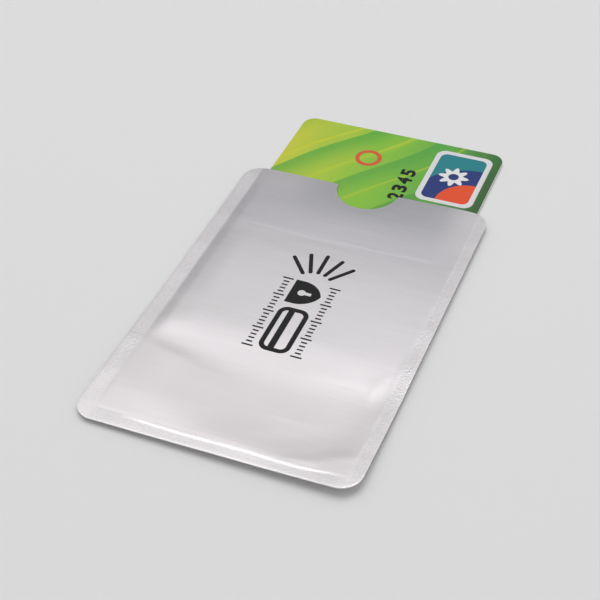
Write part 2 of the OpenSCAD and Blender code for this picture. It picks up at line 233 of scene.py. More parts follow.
# Silver film: bluish and painted darker towards the mouth as painted shade, warm and light at the
# closed end, drawn out in fine streaks across the sleeve, and stippled where it is sealed
filmFinish = {
    "coolShadedMouth": (0.555, 0.548, 0.585),
    "middle": (0.815, 0.787, 0.812),
    "warm": (0.803, 0.768, 0.779),
    "sealed": (0.768, 0.744, 0.762),
    "run": (-46.0, 46.0),  # the colours change along this stretch of y
    "middleAt": 0.55,
    "drift": 0.11,  # how far a broad cloudiness shifts them
    "sealedShare": 0.8,
    "metal": 0.85,
    "roughness": 0.30,
    "sealRoughness": 0.31,
    "roughnessSpread": 0.06,
    "edgeSoft": 0.12,  # half width of the border between seal and pocket
    # rates of the drawn-out noises along x, y and z
    "fineStreaks": (0.06, 2.0, 0.1),
    "broadStreaks": (0.03, 0.35, 0.1),
    "reliefStreaks": (0.05, 0.8, 0.1),
    "grainScale": 9.0,
    "mottleScale": 1.7,
    "stippleScale": 2.6,
    "stippleBlend": 0.6,
    "stippleMiddle": 0.4,
    "streakHeight": 0.003,
    "stippleHeight": 0.027,
    "pressed": (-40.0, -14.0),  # the stipple is half as deep below this stretch of y, whole above
    # how much each of these changes the shade
    "streakShade": 0.06,
    "grainShade": 0.04,
    "mottleShade": 0.26,
    "edgeGlintShade": 0.045,
    # a painted highlight line's distance from the pocket's edge, half width outside and inside, and
    # share
    "rightEdgeGlint": (0.15, 0.32, 0.05, 1.0),
    "leftEdgeGlint": (0.1, 0.28, 0.05, 0.5),
    # patches of painted light and painted shade: strength, from and to along x, and along y
    "paintedLightByMouth": [(0.85, (20.0, 28.4), (20.0, 36.0)), (0.5, (-8.0, -20.0), (26.0, 44.0))],
    # painted shade beside the card's end on the right, and a painted shadow along the left slope
    "paintedShadeRightEdge": (-0.09, (26.6, 28.6), (-28.0, -18.0), (-2.0, -10.0)),
    "paintedShadowLeftSlope": (-0.11, (-19.0, -24.5), (-8.0, 4.0), (26.0, 14.0)),
    # the left seal is painted a little lighter from the card's end towards the mouth
    "lighterLeftSeal": 0.045,
    "lighterAbove": (-24.0, -12.0),
}


def paintFilm():
    f = filmFinish
    p = Paint("satinSilverFilm", Metallic=f["metal"])
    fine = p.drawnOut(f["fineStreaks"], detail=1.5)
    broad = p.drawnOut(f["broadStreaks"])
    drawn = p.drawnOut(f["reliefStreaks"], detail=1.0)
    grain = p.noise(p.place, scale=f["grainScale"])
    mottle = p.noise(p.place, scale=f["mottleScale"], detail=3.0, roughness=0.7)
    stipple = p.node(
        "ShaderNodeTexVoronoi",
        {"feature": "SMOOTH_F1"},
        {"Vector": p.place, "Scale": f["stippleScale"], "Smoothness": f["stippleBlend"]},
    )
    low, high = boxOf("bottom_seam")
    soft = f["edgeSoft"]
    inside = (
        p.between(p.x, low[0] - soft, low[0] + soft)
        * p.between(p.x, high[0] + soft, high[0] - soft)
        * p.between(p.y, high[1] - soft, high[1] + soft)
    )
    seal = 1.0 - inside
    start, end = f["run"]
    along = p.node("ShaderNodeMapRange", links={0: p.y, 1: start, 2: end, 3: 0.0, 4: 1.0})
    # the colour ramp darkens towards the mouth: painted shade
    stops = [(0.0, f["warm"]), (f["middleAt"], f["middle"]), (1.0, f["coolShadedMouth"])]
    base = p.ramp(along + (broad - 0.5) * f["drift"], stops)
    # painted light: near the mouth the film is painted lighter, in the seals' colour, along the two
    # sides
    right, left = f["paintedLightByMouth"]
    base = p.mix(p.patch(*right) + p.patch(*left), base, f["sealed"])
    base = p.mix(seal * f["sealedShare"], base, f["sealed"])
    # a painted highlight: a thin light line painted along the pocket's two long sides, at the
    # seal's edge
    edgeGlint = 0.0
    for edge, (off, outside, within, share) in ((high[0], f["rightEdgeGlint"]), (low[0], f["leftEdgeGlint"])):
        edgeGlint = p.between(abs(p.x - (edge + off)), outside, within) * share + edgeGlint
    shade = 1.0 + (fine - 0.5) * f["streakShade"] + (grain - 0.5) * f["grainShade"]
    shade = shade + edgeGlint * f["edgeGlintShade"] + seal * (mottle - 0.5) * f["mottleShade"]
    # painted shade and light: the left seal is painted a little lighter, the right one painted
    # darker beside the card's end as painted shade, and a painted shadow lies along the left slope
    leftSeal = (low[0] + soft, low[0] - soft)
    shade = shade + p.patch(f["lighterLeftSeal"], leftSeal, f["lighterAbove"])
    shade = shade + p.patch(*f["paintedShadeRightEdge"]) + inside * p.patch(*f["paintedShadowLeftSlope"])
    rough = f["roughness"] + (fine - 0.5) * f["roughnessSpread"]
    rough = rough + seal * (f["sealRoughness"] - f["roughness"])
    streaks = p.bump(drawn * inside, f["streakHeight"])
    pressed = 0.5 + p.between(p.y, *f["pressed"]) * 0.5
    dimples = (stipple - f["stippleMiddle"]) * seal * pressed
    normal = p.bump(dimples, f["stippleHeight"], over=streaks)
    p.send(Base_Color=p.tint(base, shade), Roughness=rough, Normal=normal)
    return p


def paintPlain(name, colour, roughness, spread=0.06, depth=0.004, **more):
    # one colour with a slight cloudiness, and a fine grain in gloss and relief
    p = Paint(name, **more)
    cloud = p.noise(p.place, scale=3.0, detail=3.0)
    grain = p.noise(p.place, scale=18.0)
    p.send(
        Base_Color=p.tint(colour, 1.0 + (cloud - 0.5) * spread * 2.0),
        Roughness=roughness + (cloud - 0.5) * 0.12 + (grain - 0.5) * 0.08,
        Normal=p.bump(grain, depth),
    )
    return p


# Card face: yellow-green to deep green across the card, with soft waves of the maker's own drawing
cardFinish = {
    "stops": [
        (0.0, (0.60, 0.64, 0.050)),
        (0.20, (0.44, 0.62, 0.048)),
        (0.45, (0.27, 0.58, 0.045)),
        (0.72, (0.15, 0.47, 0.055)),
        (0.90, (0.07, 0.26, 0.050)),
        (1.0, (0.045, 0.13, 0.035)),
    ],
    "cloudScale": 0.05,
    "cloudShift": 0.10,
    "centre": (-64.0, 96.0),  # the arcs' middle, off the card
    "wave": 2.4,
    "waves": 7.0,
    "crispness": 0.12,
    # radius, width of its soft side, how strong, colour
    "arcs": [
        (47.0, 7.0, 0.75, (0.34, 0.56, 0.03)),
        (58.5, 1.4, 0.80, (0.66, 0.68, 0.02)),
        (61.5, 9.0, 0.75, (0.06, 0.42, 0.045)),
        (70.0, 2.2, 0.75, (0.52, 0.66, 0.03)),
        (76.0, 8.0, 0.60, (0.05, 0.36, 0.06)),
        (82.5, 1.2, 0.65, (0.50, 0.62, 0.03)),
        (90.0, 9.0, 0.45, (0.03, 0.24, 0.05)),
    ],
    "roughness": 0.34,
    "dotScale": 14.0,
    "dots": (0.12, 0.0012),  # change of gloss and height
}


def paintCardFace():
    f = cardFinish
    p = Paint(
        "printedCardFace",
        Coat_Weight=0.15,
        Coat_Roughness=0.12,
        Specular_IOR_Level=0.3,
    )
    low, high = boxOf("card_front_overlay")
    across = p.node("ShaderNodeMapRange", links={0: p.x, 1: low[0], 2: high[0], 3: 0.0, 4: 1.0})
    cloud = p.noise(p.place, scale=f["cloudScale"], detail=1.0)
    base = p.ramp(across + (cloud - 0.5) * f["cloudShift"], f["stops"])
    # arcs round a middle off the card, wavy by a sine of the angle, each with one crisp side and
    # one that fades out
    dx, dy = p.x - f["centre"][0], p.y - f["centre"][1]
    bend = (dx.math("ARCTAN2", dy, dx) * f["waves"]).sine()
    away = (dx * dx + dy * dy) ** 0.5 + bend * f["wave"]
    for radius, width, weight, colour in f["arcs"]:
        crisp = p.between(away, radius - f["crispness"], radius + f["crispness"])
        fade = p.between(away, radius + width, radius)
        base = p.mix(crisp * fade * weight, base, colour)
    dots = p.noise(p.place, scale=f["dotScale"], detail=1.0)
    p.sendGrained(base, f["roughness"], dots, *f["dots"])
    return p


filmLow, filmHigh = boxOf("front_face_film")
bandLow, bandHigh = boxOf("bottom_seam")
sleeve = {
    "west": filmLow[0],
    "east": filmHigh[0],
    "south": filmLow[1],
    "mouth": filmHigh[1],
    "cornerR": 4.6,
    "pocketWest": bandLow[0],
    "pocketEast": bandHigh[0],
    "pocketSouth": bandHigh[1],
    "leftSlope": 1.5,
    "rightSlope": 0.5,
    "bottomSlope": 0.9,
    "sealT": 0.07,
    "foilT": 0.02,
    "faceT": 0.03,
    "notchX": 0.3,
    "notchR": 7.7,
    "notchRound": 0.4,
    # the grid: width of a column and least width, columns round a corner, the notch and its ends
    # and over the two slopes, rows in the bottom seal and round the mouth, how those crowd at the
    # edge, where the spacing of the other rows changes, and that spacing
    "step": 0.6,
    "leastStep": 0.03,
    "cornerColumns": 13,
    "notchColumns": 41,
    "tipColumns": 6,
    "leftColumns": 9,
    "rightColumns": 7,
    "bandRows": 19,
    "mouthRows": 28,
    "mouthCrowding": 1.3,
    "endStretch": 2.0,
    "rowMarks": [23.4, 25.2, 32.0],
    "rowSteps": [0.2, 0.6, 0.2, 0.6],
    "printStrips": 0.8,
}
sleeve["panelZ"] = boxOf("front_seal_film")[1][2] - sleeve["sealT"]
sleeve["backZ"] = boxOf("back_seal_film")[0][2] + sleeve["sealT"]

# Swells of the front web: height, middle x and y, half length, half width, turn and, where the
# side towards the closed end is drawn out, how much wider that side is
swells = [
    (0.10, -25.0, -13.2, 4.5, 4.0, -14),
    (0.045, -12.0, -10.5, 12.0, 6.5, -6),
    (0.045, 25.2, -16.6, 2.4, 3.0, 0),
    (0.03, 8.0, -19.0, 14.0, 4.0, 0),
    (-0.042, -14.0, -20.0, 11.0, 3.5, -20),
    (0.08, -14.0, -36.5, 13.0, 5.0, -8),
    (0.17, 29.5, -35.0, 13.0, 4.5, 80),
    (0.16, 32.5, -26.5, 8.0, 5.0, 0, 2.5),
    (0.05, 5.0, -40.5, 9.0, 4.5, -3),
    (0.12, 25.0, -42.0, 9.0, 6.0, 12),
    (-0.025, 14.0, -37.0, 7.0, 2.2, 18),
    (0.055, 25.0, -38.4, 4.0, 1.6, 25),
    (0.045, 1.0, -41.8, 9.0, 3.2, 0),
    (0.04, 18.0, -41.6, 5.0, 1.3, 12),
    (0.10, -20.2, -22.8, 6.2, 1.6, -12, 7.0),
    (0.06, -15.0, -31.0, 9.0, 5.5, -5, 2.0),
    (0.03, 25.3, -19.5, 3.0, 0.35, 90),
    (0.025, 24.5, -19.2, 2.5, 0.3, 90),
    (0.02, 26.6, -13.6, 0.9, 0.8, 0),
    (0.16, 1.0, 33.5, 21.0, 7.0, 0),
    (0.19, 22.5, 47.0, 8.0, 7.5, 0),
    (-0.10, -28.5, 1.0, 4.0, 15.0, 0),
    (0.11, 34.0, -10.0, 14.0, 24.0, 0),
    (0.02, -20.5, -43.9, 3.5, 0.22, 4),
    (0.02, -19.0, -44.6, 2.5, 0.2, 4),
]

# Lie of the two webs. A pair of places is where a smooth change starts and ends
film = {
    "liftFrom": -22.0,  # where the closed end starts to rise off the table
    "liftLeft": 0.04,
    "liftRight": 1.15,
    "liftStraight": 0.35,  # share of the rise across the sleeve that is a straight line
    "liftPower": 1.6,
    "overCard": 0.185,  # the front web stands this much higher where it lies over the card
    "cardEnd": (-21.5, -8.5),
    "leftFalls": [(0.30, 3.1), (0.09, 9.0)],  # and falls off towards the left seal: depth, width
    "fallsLess": 0.65,  # by this share less at the mouth
    "fallsOut": (34.0, 44.0),
    "mouthRise": -0.13,  # the mouth's edge lies lower, but not at the right corner
    "mouthStretch": (35.0, 46.0),
    "mouthPower": 2.3,
    "mouthLess": 1.05,
    "mouthOut": (14.0, 24.0),
    "notchDip": 0.045,
    "notchDipWidth": 2.5,
    # creases across the web: y, width, height, from and to along x, and how they wander and fade
    "creases": [(24.3, 0.5, 0.012, -30.0, 29.0), (30.4, 0.6, 0.007, -27.0, 14.0),
                (-32.6, 0.9, 0.012, 3.0, 24.0), (-18.6, 1.2, 0.012, 8.0, 27.0)],
    "wander": [(0.35, 0.13), (0.12, 0.41)],
    "creaseFade": 7.0,
    "rightward": (-20.0, 24.0),
    "upward": (-30.0, -8.0),
    "endward": (-38.5, -42.0),
    # fall from the front web's edge down to the sealed rim, at the left, lower left and right
    "fallLeft": 0.055,
    "fallLow": -0.01,
    "fallRight": 0.01,
    "step": 0.01,  # of which this much at once, where the pocket ends
    "stepLeft": 0.05,
    # fold along the bottom seal
    "foldY": -43.25,
    "foldSlope": -0.35 / 30.0,
    "foldRipple": (0.12, 0.22),
    "foldBend": 0.9,
    "foldBendOver": (16.0, 28.0),
    "foldWidth": 0.75,
    "foldStep": 0.055,
    "foldIn": (-22.0, -14.0),
    "foldOut": (29.0, 21.0),
    "rimRoll": 0.015,
    "rimRollWidth": 0.4,
    "rimWave": (0.012, 0.55),  # height and rate, and how far and how fast the wave wanders
    "rimWaveWander": (0.4, 0.21),
    "rimWaveOver": (26.0, 29.0),
    "rimShare": 0.25,  # share of the end's rise that goes on across its seal
    "rimShareRight": 0.35,  # and what is added to it at the right corner
    "rimShareOver": (6.0, 24.0),
    "backRipple": (0.006, 0.16, 0.11),  # height and rates along x and y
}


def smooth(t):
    # 3t² − 2t³, held at 0 and 1 outside
    t = np.clip(t, 0.0, 1.0)
    return t * t * (3.0 - 2.0 * t)


def step(value, fromTo):
    # 0 at the first of two places and 1 at the second, by the smooth curve between
    start, end = fromTo
    return smooth((value - start) / (end - start))


def swell(x, y, height, midX, midY, halfLong, halfWide, turn, drawnOut=1.0):
    # height × exp(−(u/halfLong)² − (v/halfWide)²), u and v turned by the angle; the side towards
    # the closed end may be drawn out
    a = math.radians(turn)
    u = (x - midX) * math.cos(a) + (y - midY) * math.sin(a)
    v = (y - midY) * math.cos(a) - (x - midX) * math.sin(a)
    wide = np.where(v < 0, halfWide * drawnOut, halfWide)
    return height * np.exp(-((u / halfLong) ** 2) - (v / wide) ** 2)


def rimDistance(x, y):
    # distance inwards from the sleeve's outline, a rectangle with round corners
    s = sleeve
    r = s["cornerR"]
    midX, midY = (s["west"] + s["east"]) / 2, (s["south"] + s["mouth"]) / 2
    qx = np.abs(x - midX) - (s["east"] - s["west"]) / 2 + r
    qy = np.abs(y - midY) - (s["mouth"] - s["south"]) / 2 + r
    out = np.hypot(np.maximum(qx, 0), np.maximum(qy, 0)) + np.minimum(np.maximum(qx, qy), 0)
    return r - out


def endLift(x, y):
    # rise of the closed end off the table: a power of the way to the end, times a height that
    # grows to the right corner, partly straight and partly by the smooth curve
    f, s = film, sleeve
    across = (x - s["west"]) / (s["east"] - s["west"])
    grown = f["liftStraight"] * across + (1.0 - f["liftStraight"]) * smooth(across)
    top = f["liftLeft"] + (f["liftRight"] - f["liftLeft"]) * grown
    run = np.clip((f["liftFrom"] - y) / (f["liftFrom"] - s["south"]), 0.0, 1.0)
    return top * run ** f["liftPower"]


def mouthLift(x, y):
    # drop of the mouth's edge: a power of the way to it, less towards the right, and a smooth dip
    # round the thumb notch
    f, s = film, sleeve
    start, end = f["mouthStretch"]
    run = np.clip((y - start) / (end - start), 0.0, 1.0) ** f["mouthPower"]
    run = run * (1.0 - f["mouthLess"] * step(x, f["mouthOut"]))
    away = np.hypot(x - s["notchX"], y - s["mouth"]) - s["notchR"]
    return f["mouthRise"] * run - f["notchDip"] * (1.0 - smooth(away / f["notchDipWidth"]))


def seamHeight(x, y):
    # middle of the sealed rim: the front web's height at the pocket's edge, less a small step
    # there and more towards the rim by a smooth share, then a fold along the closed end, the
    # rolled cut edge, a slow wave along the sides and a part of the end's rise
    f, s = film, sleeve
    toRight = step(x, f["rightward"])
    upper = step(y, f["upward"])
    nearEnd = step(y, f["endward"])
    inner = np.maximum(y, s["pocketSouth"])
    mouth = mouthLift(x, inner)
    beside = panelHeight(np.clip(x, s["pocketWest"], s["pocketEast"]), inner) - mouth
    fall = f["fallLow"] + (f["fallLeft"] - f["fallLow"]) * upper
    fall = (fall + (f["fallRight"] - fall) * toRight) * (1.0 - nearEnd)
    drop = f["step"] + f["stepLeft"] * upper * (1.0 - toRight)
    share = (
        step(x, (s["west"], s["pocketWest"]))
        * step(x, (s["east"], s["pocketEast"]))
        * step(y, (s["south"], s["pocketSouth"]))
    )
    height, rate = f["foldRipple"]
    line = f["foldY"] + f["foldSlope"] * x + height * np.sin(x * rate)
    line = line + f["foldBend"] * step(x, f["foldBendOver"])
    fold = f["foldStep"] * smooth((line - y) / f["foldWidth"] + 0.5) * nearEnd
    fold = fold * step(x, f["foldIn"]) * step(x, f["foldOut"])
    roll = f["rimRoll"] * (1.0 - smooth(rimDistance(x, y) / f["rimRollWidth"]))
    (height, rate), (far, slow) = f["rimWave"], f["rimWaveWander"]
    wave = height * np.sin(y * rate + far * np.sin(y * slow)) * step(np.abs(x), f["rimWaveOver"])
    onward = f["rimShare"] + f["rimShareRight"] * step(x, f["rimShareOver"])
    rising = onward * (endLift(x, y) - endLift(x, inner))
    return beside - fall + share * (fall - drop + mouth) - fold - roll + wave + rising


def panelHeight(x, y):
    # inner face of the front web over the pocket: its flat place plus the end's rise, the rise
    # over the card less its falls to the left, the swells, the creases and the mouth's drop
    f, s = film, sleeve
    over = step(y, f["cardEnd"])
    z = s["panelZ"] + endLift(x, y) + f["overCard"] * over
    falls = over * (1.0 - f["fallsLess"] * step(y, f["fallsOut"]))
    for depth, width in f["leftFalls"]:
        z = z - depth * falls * (1.0 - smooth((x - s["pocketWest"]) / width))
    for row in swells:
        z = z + swell(x, y, *row)
    (far, slow), (near, quick) = f["wander"]
    for place, width, height, start, end in f["creases"]:
        line = place + far * np.sin(x * slow + place) + near * np.sin(x * quick)
        fade = smooth((x - start) / f["creaseFade"]) * smooth((end - x) / f["creaseFade"])
        z = z + height * smooth((y - line) / width + 0.5) * fade
    return z + mouthLift(x, y)


def insideShare(x, y):
    # 0 over the seals, 1 over the pocket: three slopes multiplied
    s = sleeve
    return (
        smooth((x - s["pocketWest"]) / s["leftSlope"])
        * smooth((s["pocketEast"] - x) / s["rightSlope"])
        * smooth((y - s["pocketSouth"]) / s["bottomSlope"])
    )


def frontInner(x, y):
    # front web's inner face: from the seam's middle to the panel by the inside share
    middle = seamHeight(x, y)
    return middle + insideShare(x, y) * (panelHeight(x, y) - middle)


def backInner(x, y):
    # back web's inner face: from the seam's middle to a flat place with a faint ripple, a product
    # of two sines, by the same share
    middle = seamHeight(x, y)
    height, rateX, rateY = film["backRipple"]
    ripple = height * (1.0 + np.sin(x * rateX + 1.0) * np.sin(y * rateY))
    return middle + insideShare(x, y) * (sleeve["backZ"] + ripple - middle)


def columnPlaces():
    # columns of the film's grid: even, but closer by a sine where the outline turns
    s = sleeve
    r, n, tip = s["cornerR"], s["notchR"], s["notchRound"]
    quarter = np.linspace(0.0, math.pi / 2, s["cornerColumns"])
    half = np.linspace(-math.pi / 2, math.pi / 2, s["notchColumns"])
    reach = math.sqrt((n + tip) ** 2 - tip**2)
    touch = reach * n / (n + tip)
    ends = reach - (reach - touch) * np.cos(np.linspace(0.0, math.pi / 2, s["tipColumns"]))
    parts = [
        s["east"] - r + r * np.sin(quarter),
        s["west"] + r - r * np.sin(quarter),
        s["notchX"] + touch * np.sin(half),
        s["notchX"] + ends,
        s["notchX"] - ends,
        np.arange(s["notchX"] + reach, s["east"] - r, s["step"]),
        np.arange(s["notchX"] - reach, s["west"] + r, -s["step"]),
        s["pocketWest"] + np.linspace(0.0, s["leftSlope"], s["leftColumns"]),
        s["pocketEast"] - np.linspace(0.0, s["rightSlope"], s["rightColumns"]),
    ]
    places = np.unique(np.concatenate(parts))
    places = places[np.concatenate([[True], np.diff(places) > s["leastStep"]])]
    for mark in (s["west"], s["pocketWest"], s["pocketEast"], s["east"]):
        places[np.argmin(np.abs(places - mark))] = mark
    return places


def lowEdge(x):
    # the closed end's outline: straight, with a quarter circle at each corner
    s = sleeve
    over = np.maximum(np.abs(x - (s["west"] + s["east"]) / 2) - (s["east"] - s["west"]) / 2
                      + s["cornerR"], 0.0)
    over = np.minimum(over, s["cornerR"])
    return s["south"] + s["cornerR"] - np.sqrt(s["cornerR"] ** 2 - over**2)


def highEdge(x, notched):
    # the mouth's outline: as the closed end's, with the half circle of the thumb notch and its
    # small rounded ends taken off in the front web
    s = sleeve
    edge = s["mouth"] - (lowEdge(x) - s["south"])
    if notched:
        n, tip = s["notchR"], s["notchRound"]
        reach = math.sqrt((n + tip) ** 2 - tip**2)
        touch = reach * n / (n + tip)
        off = np.abs(x - s["notchX"])
        arc = np.sqrt(np.maximum(n**2 - off**2, 0.0))
        end = tip - np.sqrt(np.maximum(tip**2 - (reach - off) ** 2, 0.0))
        cut = np.where(off <= touch, np.maximum(arc, tip * 0.95), np.where(off < reach, end, 0.0))
        edge = np.minimum(edge, s["mouth"] - cut)
    return edge


def filmGrid(notched):
    # x and y of every grid point, rows by columns, and the number of rows in the bottom seal.
    # Rows are straight over the pocket and bend to the two ends' outlines
    s = sleeve
    x = columnPlaces()
    low, high = lowEdge(x), highEdge(x, notched)
    marks = [s["pocketSouth"], s["pocketSouth"] + s["endStretch"], *s["rowMarks"]]
    runs = zip(marks, marks[1:], s["rowSteps"])
    middle = np.concatenate([np.arange(a, b - gap / 2, gap) for a, b, gap in runs])
    band = np.linspace(0.0, 1.0, s["bandRows"])[:-1]
    cap = 1.0 - (1.0 - np.linspace(0.0, 1.0, s["mouthRows"])) ** s["mouthCrowding"]
    pocket = np.clip(x, s["pocketWest"], s["pocketEast"])
    joint = low + (s["pocketSouth"] - lowEdge(pocket))
    top = marks[-1]
    bandY = low + band[:, None] * (joint - low)
    middleShare = (middle - s["pocketSouth"]) / (top - s["pocketSouth"])
    middleY = joint + middleShare[:, None] * (top - joint)
    capY = top + cap[:, None] * (high - top)
    y = np.concatenate([bandY, middleY, capY])
    return np.broadcast_to(x, y.shape).copy(), y, len(band)


def meshFrom(name, points, faces, smoothAngle=40.0):
    # points in millimetres become a mesh in metres; sharp where faces meet at more than the angle
    mesh = bpy.data.meshes.new(name)
    mesh.vertices.add(len(points))
    mesh.vertices.foreach_set("co", (points / perMetre).astype(np.float32).ravel())
    mesh.loops.add(faces.size)
    mesh.loops.foreach_set("vertex_index", faces.astype(np.int32).ravel())
    mesh.polygons.add(len(faces))
    size = faces.shape[1]
    mesh.polygons.foreach_set("loop_start", np.arange(0, faces.size, size, dtype=np.int32))
    mesh.polygons.foreach_set("use_smooth", np.ones(len(faces), bool))
    mesh.update(calc_edges=True)
    mesh.validate()
    mesh.set_sharp_from_angle(angle=math.radians(smoothAngle))
    made = bpy.data.objects.new(name, mesh)
    bpy.context.scene.collection.objects.link(made)
    return made


def slab(name, x, y, low, high):
    # closed thin solid: two sheets over the same grid and a wall round their common edge
    rows, columns = x.shape
    points = np.concatenate([np.stack([x, y, z], -1).reshape(-1, 3) for z in (high, low)])
    index = np.arange(rows * columns).reshape(rows, columns)
    corners = (index[:-1, :-1], index[:-1, 1:], index[1:, 1:], index[1:, :-1])
    top = np.stack([corner.ravel() for corner in corners], -1)
    bottom = top[:, ::-1] + rows * columns
    ring = np.concatenate([index[0, :-1], index[:-1, -1], index[-1, :0:-1], index[:0:-1, 0]])
    after = np.roll(ring, -1)
    wall = np.stack([ring + rows * columns, after + rows * columns, after, ring], -1)
    return meshFrom(name, points, np.concatenate([top, bottom, wall]))


def dress(obj, paint, body, slotName, *replaced):
    # gives a new piece its material and body, and hides the CAD nodes that it stands for; the
    # slot's name is not used
    obj.data.materials.clear()
    obj.data.materials.append(paint.material)
    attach(obj, body)
    if replaced:
        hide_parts(*replaced)
    return obj


def buildFilms(paints):
    # three layers of each web and the three seams, cut from the same grids
    s = sleeve
    lifts = np.cumsum([0.0, s["sealT"], s["foilT"], s["faceT"]])
    xs = columnPlaces()
    west = int(np.argmin(np.abs(xs - s["pocketWest"])))
    east = int(np.argmin(np.abs(xs - s["pocketEast"])))
    made = 0
    for side, notched, inner, sign in (
        ("front", True, frontInner, 1.0),
        ("back", False, backInner, -1.0),
    ):
        x, y, band = filmGrid(notched)
        base = inner(x, y)
        clear = base[band + 6:, west + 10:east - 8]  # past the slopes
        print(f"{side} web's inner face over the pocket: "
              f"{clear.min():.3f} to {clear.max():.3f} mm")
        inPocket = (slice(band, None), slice(west, east + 1))
        whole = (slice(None), slice(None))
        for part, first, second, area, slotName in (
            ("seal_film", lifts[0], lifts[1], inPocket, "seal_film"),
            ("foil", lifts[1], lifts[2], whole, "foil"),
            ("face_film", lifts[2], lifts[3], whole, "silver_film"),
        ):
            ends = sorted((sign * first, sign * second))
            node = f"{side}_{part}"
            obj = slab(node + "_look", x[area], y[area], base[area] + ends[0], base[area] + ends[1])
            dress(obj, paints[slotName], "sleeve", slotName, node)
            made += 1
        if side == "front":
            for node, area in (
                ("left_seam", (slice(None), slice(0, west + 1))),
                ("right_seam", (slice(None), slice(east, None))),
                ("bottom_seam", (slice(0, band + 1), slice(west, east + 1))),
            ):
                low, high = base[area] - s["sealT"], base[area] + s["sealT"]
                obj = slab(node + "_look", x[area], y[area], low, high)
                dress(obj, paints["seal_film"], "sleeve", "seal_film", node)
                made += 1
    print(f"films: {made} layers and seams")


def sliced(node, spacing):
    # a merged copy of a CAD node, cut into strips so that it can follow a curved film
    mesh = bmesh.new()
    mesh.from_mesh(nodes[node].data)
    bmesh.ops.remove_doubles(mesh, verts=mesh.verts, dist=1e-6)
    low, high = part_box(node)
    for axis in range(2):
        normal = Vector((axis == 0, axis == 1, 0))
        for place in np.arange(low[axis] + spacing, high[axis], spacing):
            bmesh.ops.bisect_plane(
                mesh,
                geom=mesh.verts[:] + mesh.edges[:] + mesh.faces[:],
                plane_co=normal * float(place),
                plane_no=normal,
                dist=1e-7,
            )
    copy = bpy.data.meshes.new(node + "_look")
    mesh.to_mesh(copy)
    mesh.free()
    obj = bpy.data.objects.new(node + "_look", copy)
    bpy.context.scene.collection.objects.link(obj)
    return obj


def buildSleevePrint(paint):
    # the printed signs lie on the film, so each point rises by as much as the film does there
    obj = sliced("sleeve_print", sleeve["printStrips"] / perMetre)
    co = np.empty(len(obj.data.vertices) * 3, np.float32)
    obj.data.vertices.foreach_get("co", co)
    co = co.reshape(-1, 3).astype(float)
    x, y = co[:, 0] * perMetre, co[:, 1] * perMetre
    co[:, 2] += (frontInner(x, y) - sleeve["panelZ"]) / perMetre
    obj.data.vertices.foreach_set("co", co.astype(np.float32).ravel())
    obj.data.update()
    dress(obj, paint, "sleeve", "black_ink", "sleeve_print")
    print("sleeve print laid on the film")


numerals = {
    "groups": "0123 4567 8901 2345",
    "pitch": 3.4,
    "height": 3.8,
    "width": 2.6,
    "embolden": 0.04,
    "curveSteps": 6,
}


def buildNumerals(paint):
    # Blender's own plain figures, one by one, read along the card with their tops towards −x
    low, high = boxOf("card_digits")
    points, faces, count = [], [], 0
    last = len(numerals["groups"]) - 1
    for i, sign in enumerate(numerals["groups"]):
        if sign == " ":
            continue
        curve = bpy.data.curves.new("figure", "FONT")
        curve.body = sign
        curve.resolution_u = numerals["curveSteps"]
        curve.offset = numerals["embolden"]
        curve.extrude = 0.5
        text = bpy.data.objects.new("figure", curve)
        bpy.context.scene.collection.objects.link(text)
        mesh = bpy.data.meshes.new_from_object(text)
        bpy.data.objects.remove(text)
        shape = bmesh.new()
        shape.from_mesh(mesh)
        bmesh.ops.remove_doubles(shape, verts=shape.verts, dist=1e-5)
        bmesh.ops.triangulate(shape, faces=shape.faces)
        bmesh.ops.recalc_face_normals(shape, faces=shape.faces)
        co = np.array([v.co for v in shape.verts])
        shape.verts.index_update()
        tri = np.array([[v.index for v in f.verts] for f in shape.faces])
        shape.free()
        bpy.data.meshes.remove(mesh)
        size = np.ptp(co, axis=0)
        # every figure is as wide as the next, but a 1 keeps its own narrow shape
        wide = numerals["height"] * size[0] / size[1] if sign == "1" else numerals["width"]
        along = (co[:, 0] - co[:, 0].min()) / size[0] * wide + (numerals["width"] - wide) / 2
        down = (co[:, 1].max() - co[:, 1]) / size[1] * numerals["height"]
        start = high[1] - numerals["width"] - (last - i) * numerals["pitch"]
        rise = (co[:, 2] > 0) * (high[2] - low[2]) + low[2]
        points.append(np.stack([low[0] + down, start + along, rise], -1))
        faces.append(tri + count)
        count += len(co)
    # read along +y with the top towards −x is a quarter turn, so the faces keep their sense
    obj = meshFrom("card_digits_look", np.concatenate(points), np.concatenate(faces))
    dress(obj, paint, "card", "black_ink", "card_digits")
    print(f"numerals: {len(points)}")


# Badge: a plain emblem of two arcs round the field's corner and an eight-petalled rosette
badge = {
    "teal": (0.012, 0.235, 0.275),
    "navy": (0.014, 0.035, 0.20),
    "orange": (0.86, 0.085, 0.02),
    "white": (0.86, 0.86, 0.86),
    "navyR": 14.4,
    "orangeR": 8.2,
    "rosetteOff": (-0.4, 0.6),  # from the field's middle
    "rosetteR": 3.15,
    "petals": 8.0,
    "petalDepth": 0.75,
    "holeR": 1.25,
    "crispness": 0.12,
    "roughness": 0.34,
    "grainScale": 12.0,
    "grain": (0.1, 0.001),  # change of gloss and height
}


